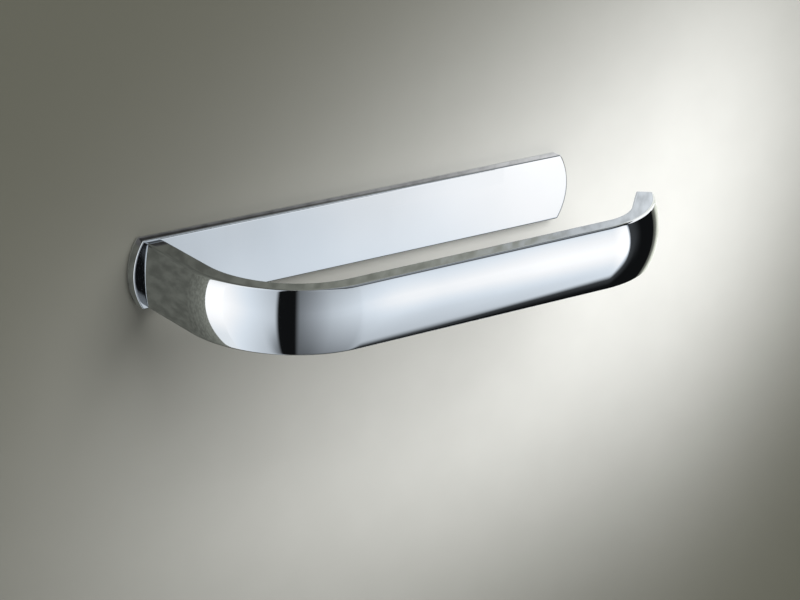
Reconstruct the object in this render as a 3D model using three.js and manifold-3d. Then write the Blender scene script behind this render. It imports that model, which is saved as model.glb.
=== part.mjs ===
// Wall-mounted roll holder: a long plate with bowed ends and one strap arm that
// leaves the plate's left end, bends round in front of it and curls at its tip.
// Millimetres. X runs along the plate, +Y goes into the wall, +Z is up.
// The origin is the middle of the plate's back face, on the wall.

import * as THREE from 'three';
import { mergeVertices } from 'three/addons/utils/BufferGeometryUtils.js';
import Module from 'manifold-3d';

const wasm = await Module();
wasm.setup();

// Back plate
const plateLength = 181;
const plateHeight = 24;
const plateThickness = 4.5;
const plateEndBow = 3.7;
const plateEdgeRadius = 0.5;

// Strap arm: thickness is at its top and bottom edges, the crown bulges past it
const armThickness = 6.3;
const armCrown = 2.2;
const armEdgeRadius = 1.1;
const armInnerEdgeRadius = 0.5;
const armLedge = 0.9;
const armRootLedge = 0.9;
const armReach = 59.9;
const armBendRadius = 31.9;

// Curl at the arm's tip: its outer and inner edges have their own radii
const curlInset = 36;
const curlOuterRadius = 42.4;
const curlOuterTurn = THREE.MathUtils.degToRad(59.3);
const curlInnerLead = 4;
const curlInnerRadius = 23.5;
const curlInnerTurn = THREE.MathUtils.degToRad(44.7);
const curlInnerEnd = 15.9;

// Wall brackets with dovetail edges, hidden in pockets in the plate's back
const bracketEndOffset = 35.5;
const bracketInset = 5;
const bracketThickness = 2.2;
const bracketBevel = 1;
const bracketMargin = 7;
const bracketCornerRadius = 2;
const pocketFloorClearance = 0.5;
const pocketSideClearance = 1;
const hangClearance = 0.2;
const releaseClearance = 0.3;

// Wall screws and the plugs that they expand in
const wallScrewSpacing = 20;
const wallScrewDiameter = 3.5;
const wallScrewHead = 7;
const wallScrewRim = 0.3;
const wallScrewLength = 36;
const wallScrewPoint = 5;
const wallScrewRecessDepth = 1.4;
const wallScrewRecessSpan = 3.8;
const wallScrewRecessWidth = 1.1;
const plugDiameter = 6;
const plugLength = 30;
const plugInset = 0.3;
const plugRibHeight = 0.4;
const plugRibCount = 6;
const plugRibStep = 1;
const plugCollar = 3;
const plugSlotWidth = 0.8;
const plugSlotLength = 17;

// Screws that pull the arm's root on to the plate
const armScrewDiameter = 4;
const armScrewHead = 7.6;
const armScrewRim = 0.3;
const armScrewSink = 0.2;
const armScrewEngagement = 9;
const armScrewSpacing = 11;
const armScrewSocket = 2.5;
const armScrewSocketDepth = 1.3;
const armHoleSpare = 1;

// Set screws in the plate's underside
const setScrewDiameter = 2.5;
const setScrewFromWall = 1.8;
const setScrewChamfer = 0.4;
const setScrewSink = 0.4;
const setScrewSocket = 1.3;
const setScrewSocketDepth = 1.6;
const setScrewHoleSpare = 0.6;

// Gap left round every screw, and how far a cutter reaches past the face that it opens
const screwClearance = 0.15;
const overcut = 1;

// Facets
const roundSegments = 20;
const filletSegments = 4;
const crownSegments = 8;
const bendSegments = 20;
const curlSegments = 16;
const bowSegments = 12;
const cornerSegments = 4;

// Worked-out places shared by the pieces
const plateFront = -plateThickness;
const armHeight = plateHeight - 2 * armLedge;
const armOuterX = -plateLength / 2 + plateEndBow + armRootLedge;
const armInnerX = armOuterX + armThickness;
const armInnerY = plateFront - armReach;
const bendCentre = new THREE.Vector2(armInnerX + armBendRadius, armInnerY + armBendRadius);
const curlStartX = plateLength / 2 - curlInset;
const bracketX = plateLength / 2 - bracketEndOffset;
const bracketHeight = plateHeight - 2 * bracketInset;
const bracketLength = wallScrewSpacing + 2 * bracketMargin;
const pocketDepth = bracketThickness + pocketFloorClearance;
const pocketBottom = -bracketHeight / 2 - bracketBevel - releaseClearance;
const setScrewY = -setScrewFromWall;
const setScrewTop = -bracketHeight / 2 - hangClearance;
const setScrewBottom = -plateHeight / 2 + setScrewSink;
const armScrewX = (armOuterX + armInnerX) / 2;

// Materials
const chrome = { color: 0xd9dee3, metalness: 1, roughness: 0.06 };
const zincPlate = { color: 0xb4b8bd, metalness: 1, roughness: 0.38 };
const blackSteel = { color: 0x3a3b3d, metalness: 1, roughness: 0.45 };
const stainless = { color: 0xc2c4c6, metalness: 1, roughness: 0.28 };
const nylon = { color: 0x9ea3a6, metalness: 0, roughness: 0.6 };

const holder = new THREE.Group();

function addPiece(name, geometry, finish) {
  const faceted = geometry.toNonIndexed();
  faceted.computeVertexNormals();
  const mesh = new THREE.Mesh(faceted, new THREE.MeshStandardMaterial(finish));
  mesh.name = name;
  holder.add(mesh);
  return mesh;
}

// Joins a geometry's shared corners and drops the slivers at a revolved shape's poles
function weld(geometry) {
  const bare = new THREE.BufferGeometry();
  bare.setAttribute('position', geometry.getAttribute('position').clone());
  if (geometry.index) bare.setIndex(geometry.index.clone());
  const merged = mergeVertices(bare, 1e-4);
  const kept = [];
  for (let i = 0; i < merged.index.count; i += 3) {
    const [a, b, c] = [0, 1, 2].map((k) => merged.index.getX(i + k));
    if (a !== b && b !== c && c !== a) kept.push(a, b, c);
  }
  merged.setIndex(kept);
  return merged;
}

function solidOf(geometry) {
  const welded = weld(geometry);
  const vertProperties = new Float32Array(welded.getAttribute('position').array);
  const triVerts = new Uint32Array(welded.index.array);
  return new wasm.Manifold(new wasm.Mesh({ numProp: 3, vertProperties, triVerts }));
}

function geometryOf(solid) {
  const mesh = solid.getMesh();
  const geometry = new THREE.BufferGeometry();
  geometry.setAttribute('position', new THREE.BufferAttribute(mesh.vertProperties, 3));
  geometry.setIndex(new THREE.BufferAttribute(mesh.triVerts, 1));
  return geometry;
}

function cut(geometry, cutters) {
  const solid = cutters.reduce((rest, cutter) => rest.subtract(solidOf(cutter)), solidOf(geometry));
  return geometryOf(solid);
}

// Skins a row of rings with the same number of points and closes both ends with a fan
function loft(rings) {
  const size = rings[0].length;
  const points = rings.flat();
  const index = [];
  for (let ring = 0; ring + 1 < rings.length; ring += 1) {
    for (let i = 0; i < size; i += 1) {
      const a = ring * size + i;
      const b = ring * size + ((i + 1) % size);
      index.push(a, b, b + size, a, b + size, a + size);
    }
  }
  const last = rings.length - 1;
  for (const ring of [0, last]) {
    const hub = points.length;
    const middle = rings[ring].reduce((sum, p) => sum.add(p), new THREE.Vector3());
    points.push(middle.divideScalar(size));
    for (let i = 0; i < size; i += 1) {
      const a = ring * size + i;
      const b = ring * size + ((i + 1) % size);
      index.push(...(ring === 0 ? [hub, b, a] : [hub, a, b]));
    }
  }
  const geometry = new THREE.BufferGeometry().setFromPoints(points);
  geometry.setIndex(index);
  return geometry;
}

// Revolves [radius, y] pairs about the Y axis, listed from low y to high y
function revolve(profile) {
  const points = profile.map(([radius, y]) => new THREE.Vector2(radius, y));
  return new THREE.LatheGeometry(points, roundSegments);
}

function arc(centre, radius, from, to, steps) {
  const points = [];
  for (let i = 0; i <= steps; i += 1) {
    const angle = from + ((to - from) * i) / steps;
    points.push(new THREE.Vector2(centre.x + radius * Math.cos(angle), centre.y + radius * Math.sin(angle)));
  }
  return points;
}

// Plate outline in X and Z: straight top and bottom, ends bowed out as arcs, drawn in by an inset
function plateOutline(inset) {
  const half = plateHeight / 2;
  const radius = (half * half + plateEndBow * plateEndBow) / (2 * plateEndBow);
  const centreX = plateLength / 2 - radius;
  const sweep = Math.asin((half - inset) / (radius - inset));
  const right = arc(new THREE.Vector2(centreX, 0), radius - inset, -sweep, sweep, bowSegments);
  const left = right.map((p) => new THREE.Vector2(-p.x, -p.y));
  return [...right, ...left];
}

function plateBlank() {
  const ring = (inset, y) => plateOutline(inset).map((p) => new THREE.Vector3(p.x, y, p.y));
  const rings = [ring(0, 0)];
  for (let i = 0; i <= cornerSegments; i += 1) {
    const angle = (Math.PI / 2) * (i / cornerSegments);
    const inset = plateEdgeRadius * (1 - Math.cos(angle));
    rings.push(ring(inset, plateFront + plateEdgeRadius * (1 - Math.sin(angle))));
  }
  return loft(rings);
}

// Bar with a [y, z] outline, square to X
function barAlongX(outline, length, centreX) {
  const shape = new THREE.Shape(outline.map(([y, z]) => new THREE.Vector2(y, z)));
  const bar = new THREE.ExtrudeGeometry(shape, { depth: length, bevelEnabled: false, steps: 1 });
  const axes = new THREE.Matrix4().makeBasis(
    new THREE.Vector3(0, 1, 0),
    new THREE.Vector3(0, 0, 1),
    new THREE.Vector3(1, 0, 0),
  );
  return bar.applyMatrix4(axes).translate(centreX - length / 2, 0, 0);
}

// Pocket in the plate's back: its top wall slopes so that it hooks over the bracket's bevel
function pocketCutter(centreX) {
  const slope = bracketBevel / bracketThickness;
  const topAtWall = bracketHeight / 2 - bracketBevel + hangClearance;
  const outline = [
    [-pocketDepth, pocketBottom],
    [overcut, pocketBottom],
    [overcut, topAtWall - slope * overcut],
    [-pocketDepth, topAtWall + slope * pocketDepth],
  ];
  return barAlongX(outline, bracketLength + 2 * pocketSideClearance, centreX);
}

// Countersunk screw along +Y with the top of its head at y = 0
function screwProfile({ head, rim, diameter, length, point }) {
  const neck = rim + (head - diameter) / 2;
  return [
    [0, 0],
    [head / 2, 0],
    [head / 2, rim],
    [diameter / 2, neck],
    [diameter / 2, length - point],
    [point > 0 ? 0 : diameter / 2, length],
    [0, length],
  ];
}

// Hole for that screw, wider by the clearance all round and open above the head
function screwHoleProfile({ head, rim, diameter, length }) {
  const neck = rim + (head - diameter) / 2;
  return [
    [0, -overcut],
    [head / 2 + screwClearance, -overcut],
    [head / 2 + screwClearance, rim],
    [diameter / 2 + screwClearance, neck],
    [diameter / 2 + screwClearance, length],
    [0, length],
  ];
}

function socketCutter(acrossFlats, depth) {
  const radius = acrossFlats / Math.sqrt(3);
  return new THREE.CylinderGeometry(radius, radius, 2 * depth, 6);
}

const wallScrew = {
  head: wallScrewHead,
  rim: wallScrewRim,
  diameter: wallScrewDiameter,
  length: wallScrewLength,
  point: wallScrewPoint,
};

const armScrewLength = plateThickness - armScrewSink + armScrewEngagement;
const armScrew = {
  head: armScrewHead,
  rim: armScrewRim,
  diameter: armScrewDiameter,
  length: armScrewLength,
  point: 0,
};
const armScrewHeights = [armScrewSpacing / 2, -armScrewSpacing / 2];

// Arm screws point out of the wall, from behind the plate into the arm's root
function placeArmScrew(geometry, z) {
  return geometry.rotateZ(Math.PI).translate(armScrewX, -armScrewSink, z);
}

// Back plate with its bracket pockets, arm screw holes and set screw holes
const setScrewHoleTop = setScrewTop + setScrewHoleSpare;
const setScrewHoleLength = setScrewHoleTop + plateHeight / 2 + overcut;
const setScrewHoles = [-bracketX, bracketX].map((x) => {
  const radius = setScrewDiameter / 2 + screwClearance;
  const hole = new THREE.CylinderGeometry(radius, radius, setScrewHoleLength, roundSegments);
  return hole.rotateX(Math.PI / 2).translate(x, setScrewY, setScrewHoleTop - setScrewHoleLength / 2);
});
const backPlate = cut(plateBlank(), [
  pocketCutter(-bracketX),
  pocketCutter(bracketX),
  ...armScrewHeights.map((z) => placeArmScrew(revolve(screwHoleProfile(armScrew)), z)),
  ...setScrewHoles,
]);
addPiece('back_plate', backPlate, chrome);

// Plan edges of the strap, root to tip, as matching inner and outer points
function strapEdges() {
  const inner = [new THREE.Vector2(armInnerX, plateFront)];
  const outer = [new THREE.Vector2(armOuterX, plateFront)];
  inner.push(...arc(bendCentre, armBendRadius, Math.PI, 1.5 * Math.PI, bendSegments));
  outer.push(...arc(bendCentre, armBendRadius + armThickness, Math.PI, 1.5 * Math.PI, bendSegments));

  const innerCurl = new THREE.CurvePath();
  const lead = new THREE.Vector2(curlStartX, armInnerY);
  const arcStart = new THREE.Vector2(curlStartX + curlInnerLead, armInnerY);
  const down = -Math.PI / 2;
  const bend = new THREE.EllipseCurve(
    arcStart.x, armInnerY + curlInnerRadius, curlInnerRadius, curlInnerRadius, down, down + curlInnerTurn,
  );
  const bendEnd = bend.getPoint(1);
  const heading = new THREE.Vector2(Math.cos(curlInnerTurn), Math.sin(curlInnerTurn));
  innerCurl.add(new THREE.LineCurve(lead, arcStart));
  innerCurl.add(bend);
  innerCurl.add(new THREE.LineCurve(bendEnd, bendEnd.clone().addScaledVector(heading, curlInnerEnd)));
  inner.push(...innerCurl.getSpacedPoints(curlSegments));

  const outerCentre = new THREE.Vector2(curlStartX, armInnerY - armThickness + curlOuterRadius);
  outer.push(...arc(outerCentre, curlOuterRadius, down, down + curlOuterTurn, curlSegments));
  return { inner, outer };
}

// Strap section as [across, up] pairs: flat inner face, crowned outer face, four small rounds
function strapSection(thickness) {
  const half = armHeight / 2;
  const crownRadius = (half * half + armCrown * armCrown) / (2 * armCrown);
  const crownCentre = thickness + armCrown - crownRadius;
  const innerZ = half - armInnerEdgeRadius;
  const filletZ = half - armEdgeRadius;
  const lean = Math.asin(filletZ / (crownRadius - armEdgeRadius));
  const filletX = crownCentre + (crownRadius - armEdgeRadius) * Math.cos(lean);
  const quarter = Math.PI / 2;
  const at = (x, z) => new THREE.Vector2(x, z);
  return [
    ...arc(at(armInnerEdgeRadius, -innerZ), armInnerEdgeRadius, -2 * quarter, -quarter, filletSegments),
    ...arc(at(filletX, -filletZ), armEdgeRadius, -quarter, -lean, filletSegments),
    ...arc(at(crownCentre, 0), crownRadius, -lean, lean, crownSegments).slice(1, -1),
    ...arc(at(filletX, filletZ), armEdgeRadius, lean, quarter, filletSegments),
    ...arc(at(armInnerEdgeRadius, innerZ), armInnerEdgeRadius, quarter, 2 * quarter, filletSegments),
  ];
}

function strapBlank() {
  const { inner, outer } = strapEdges();
  const rings = inner.map((edge, i) => {
    const across = outer[i].clone().sub(edge);
    const thickness = across.length();
    across.normalize();
    return strapSection(thickness).map(
      (p) => new THREE.Vector3(edge.x + across.x * p.x, edge.y + across.y * p.x, p.y),
    );
  });
  return loft(rings.reverse());
}

// Arm with blind screw holes in its root
const armHoles = armScrewHeights.map((z) => {
  const radius = armScrewDiameter / 2 + screwClearance;
  const depth = armScrewEngagement + armHoleSpare;
  const hole = new THREE.CylinderGeometry(radius, radius, depth + overcut, roundSegments);
  return hole.translate(armScrewX, plateFront - (depth - overcut) / 2, z);
});
addPiece('arm', cut(strapBlank(), armHoles), chrome);

// Screws from behind the plate into the arm
['arm_screw_upper', 'arm_screw_lower'].forEach((name, i) => {
  const screw = cut(revolve(screwProfile(armScrew)), [socketCutter(armScrewSocket, armScrewSocketDepth)]);
  addPiece(name, placeArmScrew(screw, armScrewHeights[i]), blackSteel);
});

// Bracket: rounded plate that widens towards its front as a dovetail, with two countersunk holes
function bracket(centreX) {
  const ring = (height, y) => {
    const right = bracketLength / 2 - bracketCornerRadius;
    const top = height / 2 - bracketCornerRadius;
    const corners = [[right, -top], [right, top], [-right, top], [-right, -top]];
    return corners.flatMap(([x, z], i) => {
      const from = (i - 1) * (Math.PI / 2);
      const centre = new THREE.Vector2(centreX + x, z);
      const corner = arc(centre, bracketCornerRadius, from, from + Math.PI / 2, cornerSegments);
      return corner.map((p) => new THREE.Vector3(p.x, y, p.y));
    });
  };
  const blank = loft([ring(bracketHeight - 2 * bracketBevel, 0), ring(bracketHeight, -bracketThickness)]);
  const holes = [-0.5, 0.5].map((side) => {
    const hole = revolve(screwHoleProfile(wallScrew));
    return hole.translate(centreX + side * wallScrewSpacing, -bracketThickness, 0);
  });
  return cut(blank, holes);
}

// Plug: split tube with ring ribs and a plain collar at its mouth
function plug() {
  const bore = wallScrewDiameter / 2 + screwClearance;
  const outside = plugDiameter / 2;
  const ribPitch = (plugLength - 2 * plugCollar) / plugRibCount;
  const profile = [[bore, 0], [outside, 0], [outside, plugCollar]];
  for (let i = 0; i < plugRibCount; i += 1) {
    const start = plugCollar + i * ribPitch;
    profile.push([outside - plugRibHeight, start + plugRibStep]);
    profile.push([outside, start + ribPitch]);
  }
  profile.push([outside - plugRibHeight, plugLength], [bore, plugLength], [bore, 0]);
  const slot = new THREE.BoxGeometry(2 * plugDiameter, 2 * plugSlotLength, plugSlotWidth);
  slot.translate(0, plugLength, 0);
  return cut(revolve(profile), [slot]);
}

// Wall screw with a cross recess in its head
function wallScrewSolid() {
  const blades = [
    new THREE.BoxGeometry(wallScrewRecessSpan, 2 * wallScrewRecessDepth, wallScrewRecessWidth),
    new THREE.BoxGeometry(wallScrewRecessWidth, 2 * wallScrewRecessDepth, wallScrewRecessSpan),
  ];
  return cut(revolve(screwProfile(wallScrew)), blades);
}

const sides = [
  { side: 'left', x: -bracketX, outward: -1 },
  { side: 'right', x: bracketX, outward: 1 },
];
for (const { side, x, outward } of sides) {
  addPiece(`wall_bracket_${side}`, bracket(x), zincPlate);

  for (const [place, offset] of [['outer', 0.5], ['inner', -0.5]]) {
    const screwX = x + outward * offset * wallScrewSpacing;
    const screw = addPiece(`wall_screw_${side}_${place}`, wallScrewSolid(), stainless);
    screw.position.set(screwX, -bracketThickness, 0);
    const anchor = addPiece(`wall_plug_${side}_${place}`, plug(), nylon);
    anchor.position.set(screwX, plugInset, 0);
  }

  // Set screw, point up against the bracket's lower bevel, socket at the plate's underside
  const radius = setScrewDiameter / 2;
  const length = setScrewTop - setScrewBottom;
  const body = revolve([
    [0, 0],
    [radius - setScrewChamfer, 0],
    [radius, setScrewChamfer],
    [radius, length - setScrewChamfer],
    [radius - setScrewChamfer, length],
    [0, length],
  ]);
  const setScrew = addPiece(
    `set_screw_${side}`,
    cut(body, [socketCutter(setScrewSocket, setScrewSocketDepth)]),
    blackSteel,
  );
  setScrew.rotation.x = Math.PI / 2;
  setScrew.position.set(x, setScrewY, setScrewBottom);
}

export default holder;
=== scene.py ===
import math

import bpy
import numpy as np
from mathutils import Matrix, Vector


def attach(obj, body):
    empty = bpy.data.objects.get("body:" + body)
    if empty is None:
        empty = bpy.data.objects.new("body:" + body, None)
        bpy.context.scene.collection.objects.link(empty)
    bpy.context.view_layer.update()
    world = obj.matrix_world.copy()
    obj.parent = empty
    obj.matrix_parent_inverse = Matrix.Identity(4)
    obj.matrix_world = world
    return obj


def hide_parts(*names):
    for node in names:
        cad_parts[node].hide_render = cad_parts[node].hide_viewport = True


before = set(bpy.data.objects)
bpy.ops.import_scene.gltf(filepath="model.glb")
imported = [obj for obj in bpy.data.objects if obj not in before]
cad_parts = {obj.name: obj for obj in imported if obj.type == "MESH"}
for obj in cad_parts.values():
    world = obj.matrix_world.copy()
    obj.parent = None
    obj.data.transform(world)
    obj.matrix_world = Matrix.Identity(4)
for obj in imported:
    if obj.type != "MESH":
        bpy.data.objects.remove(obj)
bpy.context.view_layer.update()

# Back plate: a long flat casting with bowed ends and a softly rounded front edge, in mirror chrome.
# Two pockets in its back hook over the wall brackets, and two screws go through its left end.
mm = 0.001
quarter_turn = math.pi / 2
plate_length = 181 * mm
plate_height = 24 * mm
plate_thickness = 4.5 * mm
plate_end_bow = 3.7 * mm
plate_edge_radius = 0.5 * mm
plate_corner_radius = 1.0 * mm
plate_back_break = 0.25 * mm
plate_front = -plate_thickness
support_gap = 0.4 * mm
pocket_centre = 55 * mm
pocket_length = 36 * mm
pocket_depth = 2.7 * mm
pocket_bottom = -8.3 * mm
pocket_top_at_wall = 6.2 * mm
pocket_slope = 1 / 2.2
set_screw_hole_radius = 1.4 * mm
set_screw_hole_top = -6.6 * mm
set_screw_from_wall = 1.8 * mm
arm_screw_x = -82.75 * mm
arm_screw_heights = {"upper": 5.5 * mm, "lower": -5.5 * mm}
arm_screw_sink = 0.2 * mm
arm_screw_hole_head = 3.95 * mm
arm_screw_hole_shank = 2.15 * mm
arm_screw_rim = 0.3 * mm
arm_screw_cone = 1.8 * mm
overcut = 1.0 * mm
corner_steps = 8
bow_steps = 40
back_edge_steps = 4
front_edge_steps = 11


def arc_columns(x, z, radius, start, stop, steps):
    """Outline columns along an arc: centre, radius and angle of each point, the angles evenly spaced."""
    angle = np.linspace(start, stop, steps + 1)
    same = [np.full_like(angle, value) for value in (x, z, radius)]
    return np.stack([*same, angle])


def drawn_in(columns, inset):
    """Outline drawn in by an inset: each point is its arc's centre plus the radius, less the inset, along
    its angle."""
    x, z, radius, angle = columns
    return x + (radius - inset) * np.cos(angle), z + (radius - inset) * np.sin(angle)


def skin(name, grid, tube=False):
    """Piece from a grid whose rows are closed rings: quads join neighbouring rings. A tube's last ring joins
    its first, and any other piece is closed by a fan to the middle of each end ring. Negative volume turns
    the faces over."""
    rows, columns, _ = grid.shape
    index = np.arange(rows * columns).reshape(rows, columns)
    points = grid.reshape(-1, 3)
    fans = np.zeros((0, 3), int)
    near, far = index[:-1], index[1:]
    if tube:
        near, far = index, np.roll(index, -1, axis=0)
    else:
        hubs = np.repeat([[rows * columns], [rows * columns + 1]], columns, axis=1)
        points = np.concatenate([points, grid[[0, -1]].mean(axis=1)])
        first = np.stack([hubs[0], np.roll(index[0], -1), index[0]], axis=-1)
        last = np.stack([hubs[1], index[-1], np.roll(index[-1], -1)], axis=-1)
        fans = np.concatenate([first, last])
    quads = np.stack([near, np.roll(near, -1, axis=1), np.roll(far, -1, axis=1), far], axis=-1)
    quads = quads.reshape(-1, 4)
    triangles = np.concatenate([quads[:, [0, 1, 2]], quads[:, [0, 2, 3]], fans])
    a, b, c = points[triangles].transpose(1, 0, 2)
    if np.sum(a * np.cross(b, c)) < 0:
        quads, fans = quads[:, ::-1], fans[:, ::-1]
    mesh = bpy.data.meshes.new(name)
    mesh.from_pydata(points.tolist(), [], quads.tolist() + fans.tolist())
    piece = bpy.data.objects.new(name, mesh)
    bpy.context.scene.collection.objects.link(piece)
    return piece


def turned(radius, along, centre, axis, columns=48):
    """Grid of a turned shape: row by row, circles of a radius about an axis, each at its distance along the
    axis from the centre. A radius with a second dimension also changes round the circle."""
    axis = np.asarray(axis, float)
    side = np.array([1.0, 0.0, 0.0])
    up = np.cross(axis, side)
    turn = np.linspace(0, 2 * math.pi, columns, endpoint=False)[:, None]
    round_way = np.cos(turn) * side + np.sin(turn) * up
    radius = np.asarray(radius, float)
    radius = radius.reshape(len(radius), -1, 1)
    along = np.asarray(along, float)[:, None, None]
    return np.asarray(centre, float) + along * axis + radius * round_way


def bar_along_x(outline, centre_x, length):
    """Grid of a bar square to X: the same (y, z) outline at each of its two ends."""
    outline = np.asarray(outline, float)
    ends = centre_x + np.array([-0.5, 0.5]) * length
    grid = np.zeros((2, len(outline), 3))
    grid[:, :, 0] = ends[:, None]
    grid[:, :, 1:] = outline
    return grid


def cut_away(piece, cutters):
    """Takes the cutters' shapes out of a piece with exact booleans. The result is the piece's own mesh."""
    for cutter in cutters:
        boolean = piece.modifiers.new("cut", "BOOLEAN")
        boolean.operation = "DIFFERENCE"
        boolean.solver = "EXACT"
        boolean.object = cutter
    blank = piece.data
    depsgraph = bpy.context.evaluated_depsgraph_get()
    piece.data = bpy.data.meshes.new_from_object(piece.evaluated_get(depsgraph))
    piece.data.name = piece.name
    piece.modifiers.clear()
    bpy.data.meshes.remove(blank)
    for cutter in cutters:
        bpy.data.objects.remove(cutter)


def fit_piece(piece, material, body, node, crease=35):
    """Finishes a piece: smooth shading with edges above the crease angle, in degrees, kept sharp, then its
    material and the body that it moves with. The loaded part of the node that it stands for is hidden."""
    piece.data.shade_smooth()
    piece.data.set_sharp_from_angle(angle=math.radians(crease))
    piece.data.materials.clear()
    piece.data.materials.append(material)
    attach(piece, body)
    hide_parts(node)


class Wire:
    """A socket in a node tree. Arithmetic on it adds Math nodes, and node() adds any other node."""

    def __init__(self, tree, socket=None):
        self.tree = tree
        self.socket = socket

    def node(self, kind, settings=None, inputs=None, output=0):
        """Adds a node: its settings first, then its sockets' values or links. Returns one output."""
        node = self.tree.nodes.new(kind)
        for name, value in (settings or {}).items():
            if name == "stops":
                elements = node.color_ramp.elements
                elements.remove(elements[1])
                elements[0].position, elements[0].color = value[0]
                for position, colour in value[1:]:
                    elements.new(position).color = colour
            else:
                setattr(node, name, value)
        for name, value in (inputs or {}).items():
            if isinstance(value, Wire):
                self.tree.links.new(value.socket, node.inputs[name])
            else:
                node.inputs[name].default_value = value
        return Wire(self.tree, node.outputs[output] if node.outputs else None)

    def maths(self, operation, first, second=0.0):
        """One sum of two values or wires."""
        return self.node("ShaderNodeMath", {"operation": operation}, {0: first, 1: second})

    def __add__(self, other):
        return self.maths("ADD", self, other)

    def __sub__(self, other):
        return self.maths("SUBTRACT", self, other)

    def __rsub__(self, other):
        return self.maths("SUBTRACT", other, self)

    def __mul__(self, other):
        return self.maths("MULTIPLY", self, other)

    def __truediv__(self, other):
        return self.maths("DIVIDE", self, other)

    __radd__ = __add__
    __rmul__ = __mul__

    def between(self, low, high):
        """0 below low, 1 above high and a smooth rise between them."""
        return self.node(
            "ShaderNodeMapRange",
            {"interpolation_type": "SMOOTHSTEP"},
            {"Value": self, "From Min": low, "From Max": high},
        )

    def noise(self, scale, detail=2.0):
        """Smooth noise over this vector, about 0 to 1."""
        return self.node("ShaderNodeTexNoise", {}, {"Vector": self, "Scale": scale, "Detail": detail})

    def stretched(self, x, y, z):
        """This vector with each axis scaled."""
        return self.node("ShaderNodeVectorMath", {"operation": "MULTIPLY"}, {0: self, 1: (x, y, z)})

    def parts(self):
        """The three parts of this vector."""
        node = self.node("ShaderNodeSeparateXYZ", {}, {"Vector": self}).socket.node
        return [Wire(self.tree, socket) for socket in node.outputs]

    def tint(self, low, high):
        """Colour that goes from low to high as this value goes from 0 to 1."""
        ends = [end if isinstance(end, Wire) else (*end, 1.0) for end in (low, high)]
        return self.node(
            "ShaderNodeMix", {"data_type": "RGBA"}, {"Factor": self, 6: ends[0], 7: ends[1]}, output=2
        )

    def bump(self, strength, distance):
        """Normal of a surface that rises with this value, by the distance in metres."""
        return self.node(
            "ShaderNodeBump", {}, {"Strength": strength, "Distance": distance, "Height": self}
        )


def new_finish(name):
    """Empty material, the wire that adds its nodes, and the piece's own coordinates."""
    material = bpy.data.materials.new(name)
    material.use_nodes = True
    material.node_tree.nodes.clear()
    wire = Wire(material.node_tree)
    return material, wire, wire.node("ShaderNodeTexCoord", output="Object")


def close_finish(wire, inputs):
    """Ends a material with a Principled shader that has these sockets."""
    shader = wire.node("ShaderNodeBsdfPrincipled", {}, inputs)
    wire.node("ShaderNodeOutputMaterial", {}, {"Surface": shader})


def polished_chrome():
    """Chromium over polished metal: a cool mirror with cloudy wiping haze, fine polishing drag along the
    piece and a very slight waviness left by the buffing wheel."""
    material, wire, place = new_finish("polished_chrome")
    haze = place.noise(42.0, 4.0)
    drag = place.stretched(1.0, 1.0, 22.0).noise(90.0, 3.0)
    waviness = place.noise(55.0, 1.0)
    close_finish(wire, {
        "Base Color": haze.tint((0.69, 0.715, 0.745), (0.74, 0.76, 0.785)),
        "Metallic": 1.0,
        "Roughness": 0.018 + haze * 0.022 + drag * 0.018,
        "Normal": waviness.bump(0.05, 0.0002),
    })
    return material


chrome = polished_chrome()

plate_half = plate_height / 2
bow_radius = (plate_half**2 + plate_end_bow**2) / (2 * plate_end_bow)
bow_centre = plate_length / 2 - bow_radius
bow_lean = math.asin((plate_half - plate_corner_radius) / (bow_radius - plate_corner_radius))
corner_x = bow_centre + (bow_radius - plate_corner_radius) * math.cos(bow_lean)
corner_z = plate_half - plate_corner_radius
right_end = np.concatenate([
    arc_columns(corner_x, -corner_z, plate_corner_radius, -quarter_turn, -bow_lean, corner_steps),
    arc_columns(bow_centre, 0, bow_radius, -bow_lean, bow_lean, bow_steps)[:, 1:-1],
    arc_columns(corner_x, corner_z, plate_corner_radius, bow_lean, quarter_turn, corner_steps),
], axis=1)
left_end = right_end * np.array([[-1], [-1], [1], [1]]) + np.array([[0], [0], [0], [math.pi]])
plate_outline = np.concatenate([right_end, left_end], axis=1)

back_turn = np.linspace(0, quarter_turn, back_edge_steps)
front_turn = np.linspace(0, quarter_turn, front_edge_steps)
side_start = plate_front + plate_edge_radius
plate_inset = np.concatenate([
    [plate_back_break + support_gap],
    plate_back_break * (1 - np.sin(back_turn)),
    [0, 0],
    plate_edge_radius * (1 - np.cos(front_turn)),
    [plate_edge_radius + support_gap],
])
plate_depth = np.concatenate([
    [0],
    -plate_back_break * (1 - np.cos(back_turn)),
    [-plate_back_break - support_gap, side_start + support_gap],
    side_start - plate_edge_radius * np.sin(front_turn),
    [plate_front],
])
plate_x, plate_z = drawn_in(plate_outline[:, None, :], plate_inset[:, None])
plate_y = np.broadcast_to(plate_depth[:, None], plate_x.shape)
back_plate = skin("back_plate_chrome", np.stack([plate_x, plate_y, plate_z], axis=-1))

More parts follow.
